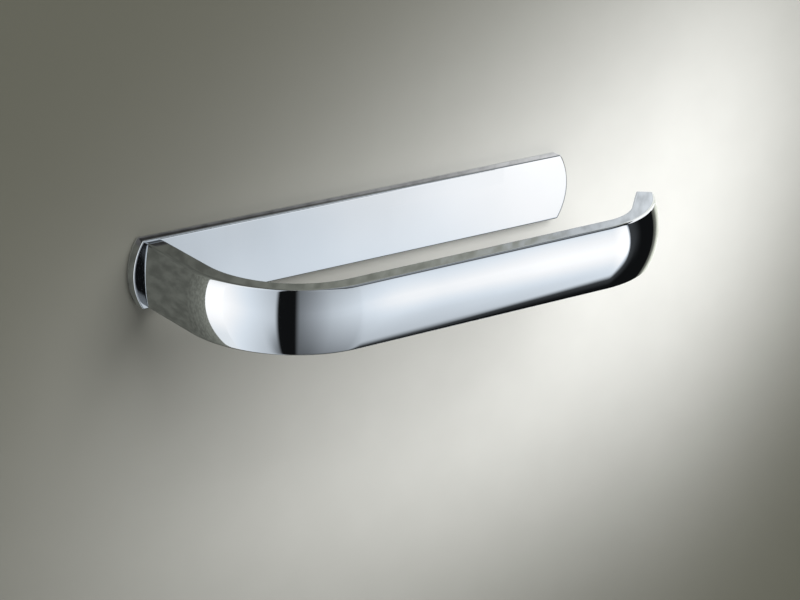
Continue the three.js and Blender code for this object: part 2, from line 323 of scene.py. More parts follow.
pocket_outline = [
    (-pocket_depth, pocket_bottom),
    (overcut, pocket_bottom),
    (overcut, pocket_top_at_wall - pocket_slope * overcut),
    (-pocket_depth, pocket_top_at_wall + pocket_slope * pocket_depth),
]
arm_screw_hole = (
    [arm_screw_hole_head, arm_screw_hole_head, arm_screw_hole_shank, arm_screw_hole_shank],
    [-overcut, arm_screw_rim, arm_screw_rim + arm_screw_cone, plate_thickness + overcut],
)
plate_cutters = []
for end in (-1, 1):
    bar = bar_along_x(pocket_outline, end * pocket_centre, pocket_length)
    plate_cutters.append(skin("pocket_cutter", bar))
    hole = turned(
        [set_screw_hole_radius] * 2,
        [-plate_half - overcut, set_screw_hole_top],
        (end * pocket_centre, -set_screw_from_wall, 0),
        (0, 0, 1),
    )
    plate_cutters.append(skin("set_screw_hole", hole))
for height in arm_screw_heights.values():
    hole = turned(*arm_screw_hole, (arm_screw_x, -arm_screw_sink, height), (0, -1, 0))
    plate_cutters.append(skin("arm_screw_hole", hole))
cut_away(back_plate, plate_cutters)
fit_piece(back_plate, chrome, "holder", "back_plate")

# Arm: one thick strap of the same chrome plated metal, flat inside and crowned outside. It leaves the
# plate square to the wall, turns through one large bend, runs along in front of the plate and curls
# back at its tip.
arm_thickness = 6.3 * mm
arm_crown = 2.2 * mm
arm_edge_radius = 1.1 * mm
arm_inner_edge_radius = 0.5 * mm
arm_height = 22.2 * mm
arm_inner_x = -79.6 * mm
arm_inner_y = -64.4 * mm
arm_bend_radius = 31.9 * mm
arm_hole_radius = 2.15 * mm
arm_hole_depth = 10 * mm
tip_round = 0.5 * mm
curl_start = 54.5 * mm
curl_outer_radius = 42.4 * mm
curl_outer_turn = math.radians(59.3)
curl_inner_lead = 4 * mm
curl_inner_radius = 23.5 * mm
curl_inner_turn = math.radians(44.7)
curl_inner_end = 15.9 * mm
leg_steps = 24
bend_steps = 96
run_steps = 80
curl_steps = 72
tip_steps = 6
crown_steps = 32


def plan_points(x, y):
    """Plan points from their places along X and Y, one of which may be a single number."""
    return np.stack(np.broadcast_arrays(x, y), axis=-1)


def on_arc(centre, radius, angle):
    """Plan points on an arc: the centre plus the radius along each angle."""
    return np.asarray(centre) + radius * plan_points(np.cos(angle), np.sin(angle))


def inner_curl(share):
    """Plan points at shares of the curl's inner edge, by length: a lead, an arc and a straight end."""
    arc_length = curl_inner_radius * curl_inner_turn
    distance = share * (curl_inner_lead + arc_length + curl_inner_end)
    turn = np.clip((distance - curl_inner_lead) / curl_inner_radius, 0, curl_inner_turn)
    lead = np.minimum(distance, curl_inner_lead)
    end = np.maximum(distance - curl_inner_lead - arc_length, 0)
    x = curl_start + lead + curl_inner_radius * np.sin(turn) + end * math.cos(curl_inner_turn)
    y = arm_inner_y + curl_inner_radius * (1 - np.cos(turn)) + end * math.sin(curl_inner_turn)
    return plan_points(x, y)


bend_centre = (arm_inner_x + arm_bend_radius, arm_inner_y + arm_bend_radius)
outer_bend_radius = arm_bend_radius + arm_thickness
curl_centre = (curl_start, arm_inner_y - arm_thickness + curl_outer_radius)
bend_angle = np.linspace(math.pi, 1.5 * math.pi, bend_steps + 1)
leg_y = np.linspace(plate_front, bend_centre[1], leg_steps, endpoint=False)
run_x = np.linspace(bend_centre[0], curl_start, run_steps, endpoint=False)[1:]
curl_share = np.linspace(0, 1, curl_steps + 1)
inner_edge = np.concatenate([
    plan_points(arm_inner_x, leg_y),
    on_arc(bend_centre, arm_bend_radius, bend_angle),
    plan_points(run_x, arm_inner_y),
    inner_curl(curl_share),
])
outer_edge = np.concatenate([
    plan_points(arm_inner_x - arm_thickness, leg_y),
    on_arc(bend_centre, outer_bend_radius, bend_angle),
    plan_points(run_x, arm_inner_y - arm_thickness),
    on_arc(curl_centre, curl_outer_radius, curl_share * curl_outer_turn - quarter_turn),
])

# The tip's edge is rounded: its last stations step back and draw in along a quarter circle
tip_turn = np.linspace(0, quarter_turn, tip_steps + 1)
tip_back = tip_round * (1 - np.sin(tip_turn))
tip_across = outer_edge[-1] - inner_edge[-1]
tip_heading = np.array([-tip_across[1], tip_across[0]]) / np.linalg.norm(tip_across)
inner_edge = np.concatenate([inner_edge[:-1], inner_edge[-1] - tip_back[:, None] * tip_heading])
outer_edge = np.concatenate([outer_edge[:-1], outer_edge[-1] - tip_back[:, None] * tip_heading])
strap_inset = np.concatenate([
    np.zeros(len(inner_edge) - len(tip_turn)),
    tip_round * (1 - np.cos(tip_turn)),
])

strap_half = arm_height / 2
crown_radius = (strap_half**2 + arm_crown**2) / (2 * arm_crown)
crown_centre = arm_crown - crown_radius
inner_round_z = strap_half - arm_inner_edge_radius
round_z = strap_half - arm_edge_radius
crown_lean = math.asin(round_z / (crown_radius - arm_edge_radius))
round_x = crown_centre + (crown_radius - arm_edge_radius) * math.cos(crown_lean)


def strap_round(x, z, radius, start, stop):
    """One rounded corner of the strap: its arc, with a flat support point before and after it."""
    arc = arc_columns(x, z, radius, start, stop, corner_steps)
    before, after = arc[:, :1].copy(), arc[:, -1:].copy()
    before[:2, 0] -= support_gap * np.array([-math.sin(start), math.cos(start)])
    after[:2, 0] += support_gap * np.array([-math.sin(stop), math.cos(stop)])
    return np.concatenate([before, arc, after], axis=1)


inner_lower = strap_round(
    arm_inner_edge_radius, -inner_round_z, arm_inner_edge_radius, math.pi, 1.5 * math.pi
)
outer_lower = strap_round(round_x, -round_z, arm_edge_radius, -quarter_turn, -crown_lean)[:, :-1]
crown_face = arc_columns(crown_centre, 0, crown_radius, -crown_lean, crown_lean, crown_steps)[:, 1:-1]
outer_upper = strap_round(round_x, round_z, arm_edge_radius, crown_lean, quarter_turn)[:, 1:]
inner_upper = strap_round(
    arm_inner_edge_radius, inner_round_z, arm_inner_edge_radius, quarter_turn, math.pi
)
strap_section = np.concatenate([inner_lower, outer_lower, crown_face, outer_upper, inner_upper], axis=1)
on_outside = np.concatenate([
    np.zeros(inner_lower.shape[1]),
    np.ones(outer_lower.shape[1] + crown_face.shape[1] + outer_upper.shape[1]),
    np.zeros(inner_upper.shape[1]),
])

strap_across = outer_edge - inner_edge
strap_thickness = np.linalg.norm(strap_across, axis=-1, keepdims=True)
strap_across = strap_across / strap_thickness
section_u, section_z = drawn_in(strap_section[:, None, :], strap_inset[:, None])
section_u = section_u + on_outside * strap_thickness
strap_plan = inner_edge[:, None, :] + section_u[..., None] * strap_across[:, None, :]
arm = skin("arm_chrome", np.concatenate([strap_plan, section_z[..., None]], axis=-1))

arm_cutters = []
for height in arm_screw_heights.values():
    hole_span = [plate_front + overcut, plate_front - arm_hole_depth]
    hole = turned([arm_hole_radius] * 2, hole_span, (arm_screw_x, 0, height), (0, 1, 0))
    arm_cutters.append(skin("arm_hole", hole))
cut_away(arm, arm_cutters)
fit_piece(arm, chrome, "holder", "arm")

# Arm screws: two black countersunk socket screws, put in from behind before the plate is hung on the
# wall. They pull the arm's root down on to the plate.
arm_screw_head = 3.8 * mm
arm_screw_radius = 2.0 * mm
arm_screw_length = 13.3 * mm
arm_screw_pitch = 0.7 * mm
arm_screw_thread = 0.4 * mm
arm_screw_plain = 3.4 * mm
arm_screw_socket = 1.25 * mm
arm_screw_socket_depth = 1.3 * mm
arm_screw_lead = 0.1 * mm
arm_screw_run_out = 0.4 * mm
arm_socket_point = 0.25 * mm
small_break = 0.12 * mm
thread_steps = 8
thread_steepness = 2.5
round_columns = 48
turn_angle = np.linspace(0, 2 * math.pi, round_columns, endpoint=False)


def hexagon(half_width):
    """Radius of a hexagon round its middle: half its width across flats over the cosine of the angle from
    the middle of a flat."""
    sixth = math.pi / 3
    return half_width / np.cos(np.mod(turn_angle, sixth) - sixth / 2)


def thread(along, outer, depth, pitch):
    """Radius of a screw thread: a ridge whose height falls off on both sides of a line that climbs one
    pitch a turn."""
    phase = np.mod(along[:, None] / pitch - turn_angle / (2 * math.pi), 1)
    ridge = np.clip(thread_steepness * (0.5 - np.abs(phase - 0.5)), 0, 1)
    return outer - depth + depth * ridge


def rings(*rows):
    """Radii and distances of a turned shape, row by row. A radius is one number or one per column."""
    radius = np.stack([np.broadcast_to(row[0], round_columns) for row in rows])
    return radius, np.array([row[1] for row in rows])


def joined(*stretches):
    """Radii and distances of a turned shape from its stretches, end to end."""
    return [np.concatenate(values) for values in zip(*stretches)]


def oxide_black():
    """Blackened steel: near black with a brownish cloud, oily, and brighter where tools have rubbed."""
    material, wire, place = new_finish("black_oxide_steel")
    cloud = place.noise(420.0, 4.0)
    rub = place.noise(1500.0, 2.0).between(0.55, 0.75)
    close_finish(wire, {
        "Base Color": (cloud * 0.7 + rub * 0.3).tint((0.020, 0.020, 0.022), (0.075, 0.068, 0.062)),
        "Metallic": 0.8,
        "Roughness": 0.34 + cloud * 0.2 - rub * 0.08,
        "Normal": cloud.bump(0.15, 0.00004),
    })
    return material


black_steel = oxide_black()
socket_wall = hexagon(arm_screw_socket)
head_rows = rings(
    (socket_wall / 2, arm_screw_socket_depth + arm_socket_point),
    (socket_wall, arm_screw_socket_depth),
    (socket_wall, small_break),
    (socket_wall + small_break, 0),
    (arm_screw_head - small_break, 0),
    (arm_screw_head, small_break),
    (arm_screw_head, arm_screw_rim),
    (arm_screw_radius, arm_screw_rim + arm_screw_cone),
    (arm_screw_radius, arm_screw_plain),
)
shank_along = np.arange(
    arm_screw_plain + arm_screw_lead, arm_screw_length - arm_screw_run_out, arm_screw_pitch / thread_steps
)
shank_radius = thread(shank_along, arm_screw_radius, arm_screw_thread, arm_screw_pitch)
end_rows = rings((arm_screw_radius - arm_screw_thread, arm_screw_length))
screw_rows = joined(head_rows, (shank_radius, shank_along), end_rows)
for place, height in arm_screw_heights.items():
    centre = (arm_screw_x, -arm_screw_sink, height)
    screw = skin(f"arm_screw_{place}_steel", turned(*screw_rows, centre, (0, -1, 0)))
    fit_piece(screw, black_steel, "holder", f"arm_screw_{place}")

# Wall brackets: two pressed steel plates with bevelled edges, dull zinc plated, screwed to the wall.
# The plate's pockets hang on their upper bevels.
bracket_length = 34 * mm
bracket_front_height = 14 * mm
bracket_back_height = 12 * mm
bracket_thickness = 2.2 * mm
bracket_corner = 2 * mm
bracket_break = 0.15 * mm
wall_screw_offsets = {"outer": 10 * mm, "inner": -10 * mm}
wall_screw_head = 3.5 * mm
wall_screw_radius = 1.75 * mm
wall_screw_rim = 0.3 * mm
screw_clearance = 0.15 * mm
wall_screw_neck = wall_screw_rim + wall_screw_head - wall_screw_radius


def spangled_zinc():
    """Zinc plating on pressed steel: bluish grey, with patches that differ a little in brightness and a
    fine dull grain."""
    material, wire, place = new_finish("dull_zinc_plate")
    patch = wire.node("ShaderNodeTexVoronoi", {}, {"Vector": place, "Scale": 380.0}, output="Color")
    patch = wire.node("ShaderNodeSeparateColor", {}, {"Color": patch})
    grain = place.noise(2600.0, 3.0)
    close_finish(wire, {
        "Base Color": (patch * 0.6 + grain * 0.4).tint((0.50, 0.52, 0.55), (0.70, 0.72, 0.75)),
        "Metallic": 1.0,
        "Roughness": 0.30 + patch * 0.14 + grain * 0.08,
        "Normal": grain.bump(0.2, 0.00003),
    })
    return material


zinc_plate = spangled_zinc()
bracket_corners = np.concatenate([
    arc_columns(x, z, bracket_corner, (step - 1) * quarter_turn, step * quarter_turn, corner_steps)
    for step, (x, z) in enumerate([(1, -1), (1, 1), (-1, 1), (-1, -1)])
], axis=1)
bracket_rows = np.array([
    (bracket_back_height, bracket_break + support_gap, 0),
    (bracket_back_height, bracket_break, 0),
    (bracket_back_height, 0, -bracket_break),
    (bracket_front_height, 0, bracket_break - bracket_thickness),
    (bracket_front_height, bracket_break, -bracket_thickness),
    (bracket_front_height, bracket_break + support_gap, -bracket_thickness),
])
bracket_height, bracket_inset, bracket_y = bracket_rows.T[:, :, None]
corner_side, corner_rise, corner_radius, corner_angle = bracket_corners
bracket_centres = np.stack([
    corner_side * (bracket_length / 2 - bracket_corner) + 0 * bracket_height,
    corner_rise * (bracket_height / 2 - bracket_corner),
    corner_radius + 0 * bracket_height,
    corner_angle + 0 * bracket_height,
])
bracket_x, bracket_z = drawn_in(bracket_centres, bracket_inset)
bracket_grid = np.stack([bracket_x, np.broadcast_to(bracket_y, bracket_x.shape), bracket_z], axis=-1)
wall_screw_hole = (
    np.repeat([wall_screw_head, wall_screw_radius], 2) + screw_clearance,
    [-overcut, wall_screw_rim, wall_screw_neck, bracket_thickness + overcut],
)
bracket_sides = {"left": -1, "right": 1}
for side, outward in bracket_sides.items():
    middle = outward * pocket_centre
    bracket = skin(f"wall_bracket_{side}_zinc", bracket_grid + np.array([middle, 0, 0]))
    bracket_cutters = []
    for offset in wall_screw_offsets.values():
        centre = (middle + outward * offset, -bracket_thickness, 0)
        bracket_cutters.append(skin("wall_screw_hole", turned(*wall_screw_hole, centre, (0, 1, 0))))
    cut_away(bracket, bracket_cutters)
    fit_piece(bracket, zinc_plate, "holder", f"wall_bracket_{side}")

# Wall plugs: moulded nylon tubes in the wall, ribbed so that they grip, and split from the far end so
# that the screws can spread them.
plug_radius = 3 * mm
plug_length = 30 * mm
plug_inset = 0.3 * mm
plug_collar = 3 * mm
plug_rib_height = 0.4 * mm
plug_rib_count = 6
plug_rib_step = 1 * mm
plug_rib_land = 0.3 * mm
plug_rib_slope = 0.2 * mm
plug_slot_width = 0.8 * mm
plug_slot_length = 17 * mm
plug_bore = wall_screw_radius + screw_clearance
plug_break = 0.15 * mm


def moulded_nylon():
    """Moulded grey nylon: slightly see-through looking, with a soft sheen, faint flow clouds and a fine
    spark texture."""
    material, wire, place = new_finish("moulded_nylon")
    flow = place.stretched(1.0, 0.3, 1.0).noise(260.0, 3.0)
    spark = place.noise(3200.0, 2.0)
    close_finish(wire, {
        "Base Color": (flow * 0.75 + spark * 0.25).tint((0.50, 0.52, 0.53), (0.68, 0.70, 0.71)),
        "Roughness": 0.42 + spark * 0.2,
        "Normal": spark.bump(0.25, 0.00004),
        "Subsurface Weight": 0.08,
        "Subsurface Radius": (0.002, 0.002, 0.002),
    })
    return material


nylon = moulded_nylon()
rib_pitch = (plug_length - 2 * plug_collar) / plug_rib_count
rib_starts = plug_collar + rib_pitch * np.arange(plug_rib_count)
rib_low = plug_radius - plug_rib_height
rib_top = rib_pitch - plug_rib_land
rib_marks = [plug_rib_step, rib_top - plug_rib_slope, rib_top, rib_pitch]
plug_profile = np.concatenate([
    [(plug_bore, plug_break), (plug_bore + plug_break, 0)],
    [(plug_radius - plug_break, 0), (plug_radius, plug_break), (plug_radius, plug_collar)],
    np.stack([
        np.tile([rib_low, plug_radius - plug_break, plug_radius, plug_radius], plug_rib_count),
        np.add.outer(rib_starts, rib_marks).ravel(),
    ], axis=-1),
    [(rib_low, plug_length - plug_collar + plug_rib_step), (rib_low, plug_length - plug_break)],
    [(rib_low - plug_break, plug_length), (plug_bore, plug_length)],
])
slot_start = plug_inset + plug_length - plug_slot_length
slot_outline = [
    (slot_start, -plug_slot_width / 2),
    (slot_start + plug_length, -plug_slot_width / 2),
    (slot_start + plug_length, plug_slot_width / 2),
    (slot_start, plug_slot_width / 2),
]
for side, outward in bracket_sides.items():
    for place, offset in wall_screw_offsets.items():
        screw_x = outward * (pocket_centre + offset)
        plug_grid = turned(*plug_profile.T, (screw_x, plug_inset, 0), (0, 1, 0))
        plug = skin(f"wall_plug_{side}_{place}_nylon", plug_grid, tube=True)
        slot = skin("plug_slot", bar_along_x(slot_outline, screw_x, 4 * plug_radius))
        cut_away(plug, [slot])
        fit_piece(plug, nylon, "holder", f"wall_plug_{side}_{place}", crease=28)

# Wall screws: stainless countersunk screws with a cross recess, a coarse thread and a gimlet point.
# They hold the brackets on the wall.
wall_screw_length = 36 * mm
wall_screw_point = 5 * mm
wall_screw_pitch = 1.6 * mm
wall_screw_thread = 0.45 * mm
recess_half_span = 1.9 * mm
recess_half_width = 0.55 * mm
recess_depth = 1.4 * mm
recess_foot = 0.35
recess_taper = 0.75
recess_lip = 0.05 * mm
recess_break = 0.1 * mm
wall_thread_lead = 3 * mm
wall_thread_gap = 0.2 * mm
wall_thread_steps = 12
wall_point_radius = 0.02 * mm


def bare_stainless():
    """Plain stainless steel: turned bright, with fine lines round the shank and a soft cloudy sheen."""
    material, wire, place = new_finish("plain_stainless")
    lines = place.stretched(1.0, 9.0, 1.0).noise(900.0, 2.0)
    cloud = place.noise(240.0, 3.0)
    close_finish(wire, {
        "Base Color": cloud.tint((0.60, 0.60, 0.60), (0.72, 0.72, 0.71)),
        "Metallic": 1.0,
        "Roughness": 0.2 + lines * 0.14 + cloud * 0.06,
        "Normal": lines.bump(0.15, 0.00003),
    })
    return material


def cross_recess():
    """Radius of the cross round its middle: the farther of two bars that lie square to each other."""
    cosine = np.maximum(np.abs(np.cos(turn_angle)), 1e-6)
    sine = np.maximum(np.abs(np.sin(turn_angle)), 1e-6)
    level = np.minimum(recess_half_span / cosine, recess_half_width / sine)
    upright = np.minimum(recess_half_span / sine, recess_half_width / cosine)
    return np.maximum(level, upright)


stainless = bare_stainless()
cross = cross_recess()
wall_thread_start = wall_screw_neck + wall_thread_lead
wall_head = rings(
    (cross * recess_foot, recess_depth),
    (cross * recess_taper, recess_depth * recess_taper),
    (cross, recess_break),
    (cross + recess_lip, 0),
    (wall_screw_head - small_break, 0),
    (wall_screw_head, small_break),
    (wall_screw_head, wall_screw_rim),
    (wall_screw_radius, wall_screw_neck),
    (wall_screw_radius - wall_screw_thread, wall_thread_start),
)
wall_along = np.arange(
    wall_thread_start + wall_thread_gap,
    wall_screw_length - wall_thread_gap,
    wall_screw_pitch / wall_thread_steps,
)
taper = np.clip((wall_screw_length - wall_along) / wall_screw_point, 0, 1)[:, None]
thread_start = np.clip((wall_along - wall_along[0]) / wall_screw_pitch, 0, 1)[:, None]
wall_ridge = thread(wall_along, wall_screw_radius, wall_screw_thread, wall_screw_pitch)
wall_core = wall_screw_radius - wall_screw_thread
wall_shank = (wall_core + (wall_ridge - wall_core) * thread_start) * taper
wall_tip = rings((wall_point_radius, wall_screw_length))
wall_screw_rows = joined(wall_head, (wall_shank, wall_along), wall_tip)
for side, outward in bracket_sides.items():
    for place, offset in wall_screw_offsets.items():
        centre = (outward * (pocket_centre + offset), -bracket_thickness, 0)
        grid = turned(*wall_screw_rows, centre, (0, 1, 0))
        screw = skin(f"wall_screw_{side}_{place}_steel", grid)
        fit_piece(screw, stainless, "holder", f"wall_screw_{side}_{place}")

# Set screws: small black socket screws that go up into the plate's underside and press on the
# brackets' lower bevels, so that the plate can't lift off. Each one backs out downwards.
set_screw_radius = 1.25 * mm
set_screw_bottom = -11.6 * mm
set_screw_top = -7.2 * mm
set_screw_chamfer = 0.4 * mm
set_screw_pitch = 0.45 * mm
set_screw_thread = 0.22 * mm
set_screw_socket = 0.65 * mm
set_screw_socket_depth = 1.6 * mm
set_socket_point = 0.2 * mm
set_socket_break = 0.06 * mm
set_thread_gap = 0.1 * mm
set_screw_length = set_screw_top - set_screw_bottom
set_socket = hexagon(set_screw_socket)
set_start = rings(
    (set_socket / 2, set_screw_socket_depth + set_socket_point),
    (set_socket, set_screw_socket_depth),
    (set_socket, set_socket_break),
    (set_socket + recess_lip, 0),
    (set_screw_radius - set_screw_chamfer, 0),
    (set_screw_radius - set_screw_thread, set_screw_chamfer - set_screw_thread),
)
set_stop = set_screw_length - set_screw_chamfer
set_along = np.arange(set_screw_chamfer, set_stop, set_screw_pitch / thread_steps)
set_end = rings(
    (set_screw_radius - set_screw_thread, set_stop + set_thread_gap),
    (set_screw_radius - set_screw_chamfer, set_screw_length),
)
set_ridge = thread(set_along, set_screw_radius, set_screw_thread, set_screw_pitch)
set_rows = joined(set_start, (set_ridge, set_along), set_end)
for side, outward in bracket_sides.items():
    centre = (outward * pocket_centre, -set_screw_from_wall, set_screw_bottom)
    screw = skin(f"set_screw_{side}_steel", turned(*set_rows, centre, (0, 0, 1)))
    fit_piece(screw, black_steel, f"{side}_set_screw", f"set_screw_{side}")

# Studio: a plain wall that the holder hangs on, lightest right of the holder in a painted pool of light,
# and a pale floor under it.
# Both show from their lit side only, and an opening behind the plate leaves its back in view.
# The wall's colour holds painted light and shade: a pool of light right of the holder on a dim ground of
# painted shade.
painted_shade_on_wall = (0.118, 0.118, 0.093)
painted_light_on_wall = (0.93, 0.93, 0.89)
wall_far = (0.42, 0.42, 0.40)
pool_x = 0.14
pool_z = -0.022
pool_left = 0.20
pool_right = 0.09
pool_height = 0.106
pool_climb = 0.35
far_from = (0.35, 0.7)
floor_colour = (0.80, 0.80, 0.79)
paint_clouds = (60.0, 3.0)
wall_cloud_share = 0.08
floor_cloud_share = 0.03
wall_half_width = 2.0
wall_foot = -0.68
wall_head_height = 1.6
floor_reach = 2.5
opening_half_width = 86 * mm
opening_half_height = 11.7 * mm


def close_matt(wire, colour):
    """Ends a material as matt paint on its lit side, seen through from the other side."""
    paint = wire.node("ShaderNodeBsdfPrincipled", {}, {
        "Base Color": colour,
        "Roughness": 0.9,
        "Specular IOR Level": 0.1,
    })
    behind = wire.node("ShaderNodeNewGeometry", output="Backfacing")
    clear = wire.node("ShaderNodeBsdfTransparent")
    surface = wire.node("ShaderNodeMixShader", {}, {0: behind, 1: paint, 2: clear})
    wire.node("ShaderNodeOutputMaterial", {}, {"Surface": surface})


def wall_colour_with_painted_light():
    """Matt paint with a painted pool of light: a bell curve of the distance from its middle, wider to the
    left than to the right and climbing to the right, on a dim ground of painted shade that is paler far out."""
    material, wire, place = new_finish("wall_colour_with_painted_light")
    x, y, z = place.parts()
    # Painted pool of light: a bell curve of lighter colour over the painted shade.
    aside = x - pool_x
    left = wire.maths("MINIMUM", aside, 0.0) / pool_left
    right = wire.maths("MAXIMUM", aside, 0.0) / pool_right
    rise = (z - pool_z - aside * pool_climb) / pool_height
    pool = wire.maths("EXPONENT", (left * left + right * right + rise * rise) * -1.0)
    pool = pool * (1 - wall_cloud_share / 2 + place.noise(*paint_clouds) * wall_cloud_share)
    far = wire.maths("SQRT", x * x + z * z).between(*far_from)
    close_matt(wire, far.tint(pool.tint(painted_shade_on_wall, painted_light_on_wall), wall_far))
    return material


def floor_paint():
    """Matt pale paint with faint clouds."""
    material, wire, place = new_finish("floor_paint")
    dark = tuple((1 - floor_cloud_share) * channel for channel in floor_colour)
    close_matt(wire, place.noise(*paint_clouds).tint(dark, floor_colour))
    return material


def stage_sheet(name, points, faces, material):
    """Object of the studio from its points and faces, with its material."""
    mesh = bpy.data.meshes.new(name)
    mesh.from_pydata(points, [], faces)
    mesh.materials.append(material)
    sheet = bpy.data.objects.new(name, mesh)
    bpy.context.scene.collection.objects.link(sheet)
    return sheet


def upright_rectangle(left, right, bottom, top, y=0):
    """Corners of a rectangle that faces the room, anticlockwise as seen from there."""
    return [(left, y, bottom), (right, y, bottom), (right, y, top), (left, y, top)]


wall_corners = upright_rectangle(-wall_half_width, wall_half_width, wall_foot, wall_head_height)
opening_corners = upright_rectangle(
    -opening_half_width, opening_half_width, -opening_half_height, opening_half_height
)
wall_faces = [(i, (i + 1) % 4, 4 + (i + 1) % 4, 4 + i) for i in range(4)]
stage_sheet("studio_wall", wall_corners + opening_corners, wall_faces, wall_colour_with_painted_light())
floor_corners = [
    (-floor_reach, -floor_reach, wall_foot),
    (floor_reach, -floor_reach, wall_foot),
    (floor_reach, floor_reach, wall_foot),
    (-floor_reach, floor_reach, wall_foot),
]
stage_sheet("studio_floor", floor_corners, [(0, 1, 2, 3)], floor_paint())

# Mirrored surroundings: what the chrome shows, hidden from all but mirrors: glowing sheets that paint its
# reflections. A sheet stands for the wall, with a white card at each end, and half a glowing dome for the
# room, with light panels, a dark gap left of the camera, and black right and below. A small glowing card
# and a thin dark veil hang before the plate: a painted reflection over the tip's image and painted shade.
glow_full = 1.6
olive_cast = (0.97, 1.0, 0.86)
cool_cast = (0.93, 1.0, 1.065)
grey_cast = (0.955, 1.0, 1.03)
no_cast = (1.01, 1.0, 0.99)
white_from = (0.95, 1.3)
card_edge = 1 * mm
soft_edge = 5 * mm


def tone_at(value, stops):
    """Tone read from stops of a place and a tone, straight between them and steady past the ends."""
    first = stops[0][0]
    reach = stops[-1][0] - first
    marks = [((place - first) / reach, (tone, tone, tone, 1.0)) for place, tone in stops]
    return value.node("ShaderNodeValToRGB", {"stops": marks}, {"Fac": (value - first) / reach})


def angle_at(value, stops):
    """Angle in degrees, read like a tone, from stops that may be below the horizon."""
    return tone_at(value, [(place, 90 + angle) for place, angle in stops]) - 90.0


def close_glow(wire, tone, cast, cover=None):
    """Ends a material as a glow of fixed strength. Its colour goes from black to a cast with the tone, and
    the cast fades where it is near white. A cover below 1 lets some of what lies behind show through."""
    colour = (tone / glow_full).tint((0.0, 0.0, 0.0), tone.between(*white_from).tint(cast, no_cast))
    light = wire.node("ShaderNodeEmission", {}, {"Color": colour, "Strength": glow_full})
    if cover is not None:
        clear = wire.node("ShaderNodeBsdfTransparent")
        light = wire.node("ShaderNodeMixShader", {}, {0: cover, 1: clear, 2: light})
    wire.node("ShaderNodeOutputMaterial", {}, {"Surface": light})


def only_in_mirrors(sheet):
    """Hides a sheet from everything but mirrors, and stops its shadow."""
    for ray in ("camera", "diffuse", "transmission", "volume_scatter", "shadow"):
        setattr(sheet, f"visible_{ray}", False)


# Sheet by the wall: its painted reflection, with the wall's painted light and shade
mirrored_half_size = 0.395
mirrored_stand_off = -1 * mm
grey_from = (0.25, 0.6)
olive_from = (140 * mm, 147 * mm)
cloud_scale = 220.0
cloud_detail = 5.0
cloud_spread = (0.3, 0.7)
cloud_least = 0.80
cloud_gain = 0.4
mirrored_tones = [
    (-160, 0.26), (-110, 0.135), (-75, 0.105), (-40, 0.17), (20, 0.29), (50, 0.34), (80, 0.45),
    (110, 0.61), (141, 0.82), (147, 1.20), (200, 0.90), (260, 0.22), (360, 0.085),
]
close_tones = [(-90, 0.11), (-35, 0.15), (0, 0.25), (40, 0.36), (92, 0.84)]
close_rise = (11 * mm, 15 * mm)
close_start = -90 * mm
close_shade_tones = [(-90, 0.03), (-35, 0.06), (40, 0.11), (92, 0.50)]
close_shade_rise = (12.7 * mm, 13.3 * mm)
close_shade_climb = 0.0065
high_tones = [(0, 0.50), (40, 0.42), (52, 0.10)]
high_start = (130 * mm, 145 * mm)
high_foot = 94 * mm
high_middle = 162 * mm
high_climb = 0.98
left_card_edge = -162 * mm
left_card_glow = 1.40
left_card_middle = -70 * mm
left_card_foot = (0.15, 0.95, 0.37)
left_card_head = (0.10, 0.40, 0.25)
right_card_glow = 1.36
right_card_left = 200 * mm
right_card_foot = (-10 * mm, 0)


def mirrored_wall():
    """Glow of the sheet, a painted reflection of the wall: a tone along the wall with faint clouds, olive
    where it is dim and cool where it is light, a strip of its own close above the plate, darker in its upper
    part as painted shade, and a glowing white card at each end as painted highlights."""
    material, wire, place = new_finish("mirrored_wall")
    x, y, z = place.parts()
    # Painted reflection of the wall's light and shade: dim at the left, lightest right of the holder.
    tone = tone_at(x / mm, mirrored_tones)
    # Glowing white card at the right end: a painted highlight in the chrome.
    right = x.between(right_card_left, right_card_left + soft_edge) * z.between(*right_card_foot)
    tone = tone + (right_card_glow - tone) * right
    over = z - high_foot - (x - high_middle) * high_climb
    high = over.between(0.0, soft_edge) * x.between(*high_start)
    tone = tone + (tone_at(over / mm, high_tones) - tone) * high
    # A strip close above the plate with its own tones, darker in its upper part as painted shade.
    start, stop = close_rise
    close = z.between(start - card_edge, start) * (1.0 - z.between(stop - card_edge, stop))
    close = close * x.between(close_start - card_edge, close_start)
    edge = (z - x * close_shade_climb).between(*close_shade_rise)
    close_tone = tone_at(x / mm, close_tones)
    close_tone = close_tone + (tone_at(x / mm, close_shade_tones) - close_tone) * edge
    tone = tone + (close_tone - tone) * close
    cloud = place.noise(cloud_scale, cloud_detail).between(*cloud_spread)
    tone = tone * (cloud_least + cloud * cloud_gain)
    # Glowing white card at the left end: a painted highlight, with painted shade towards its foot and head.
    left = 1.0 - x.between(left_card_edge - card_edge, left_card_edge)
    slope = z / (x - left_card_middle)
    foot, full_foot, foot_loss = left_card_foot
    head, full_head, head_loss = left_card_head
    left_glow = left_card_glow - slope.between(foot, full_foot) * foot_loss
    left_glow = left_glow - (slope * -1.0).between(head, full_head) * head_loss
    tone = tone + (left_glow - tone) * left
    cast = tone.between(*grey_from).tint(olive_cast, grey_cast)
    cast = x.between(*olive_from).tint(cast, olive_cast)
    cast = close.tint(cast, no_cast)
    close_glow(wire, tone, cast)
    return material


mirrored_corners = upright_rectangle(
    -mirrored_half_size, mirrored_half_size, -mirrored_half_size, mirrored_half_size, mirrored_stand_off
)
mirrored_opening = [(x, mirrored_stand_off, z) for x, y, z in opening_corners]
mirrored_points = mirrored_corners + mirrored_opening
only_in_mirrors(stage_sheet("mirrored_wall", mirrored_points, wall_faces, mirrored_wall()))

